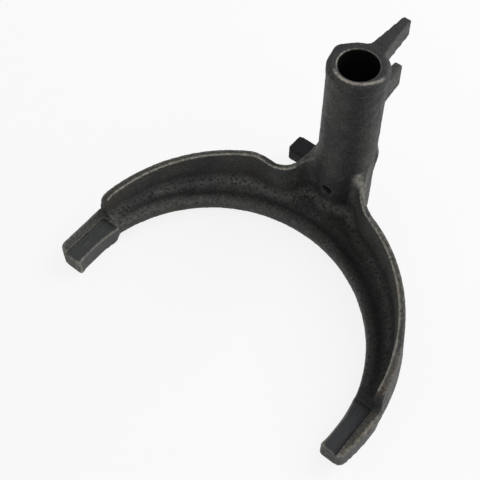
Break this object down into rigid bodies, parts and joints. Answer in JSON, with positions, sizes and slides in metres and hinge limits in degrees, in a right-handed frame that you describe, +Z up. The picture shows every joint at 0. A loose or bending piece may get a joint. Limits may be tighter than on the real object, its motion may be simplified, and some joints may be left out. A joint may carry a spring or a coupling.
{
  "type": "shift fork",
  "caption": "Cast shift fork with a long rail hub, curved arms of L section, machined pads, gate lugs that form a finger slot, and a pin hole through the hub's foot.",
  "frame": {"origin": "on the axis of the rail bore, in the plane of the hub's lower end and the pads' backs", "axes": "+Z runs up the rail bore, the sleeve that the arms straddle is centred on the -Y side, the gate lugs point to +Y, and the fork is symmetric about the YZ plane but for its shoulders and ear"},
  "size_m": [0.15, 0.1332, 0.087],
  "materials": {
    "cast_iron": "rough sand-cast skin, machined bore, end face and pads"
  },
  "bodies": {
    "root": {"shift_fork": "cast_iron"}
  },
  "joints": []
}
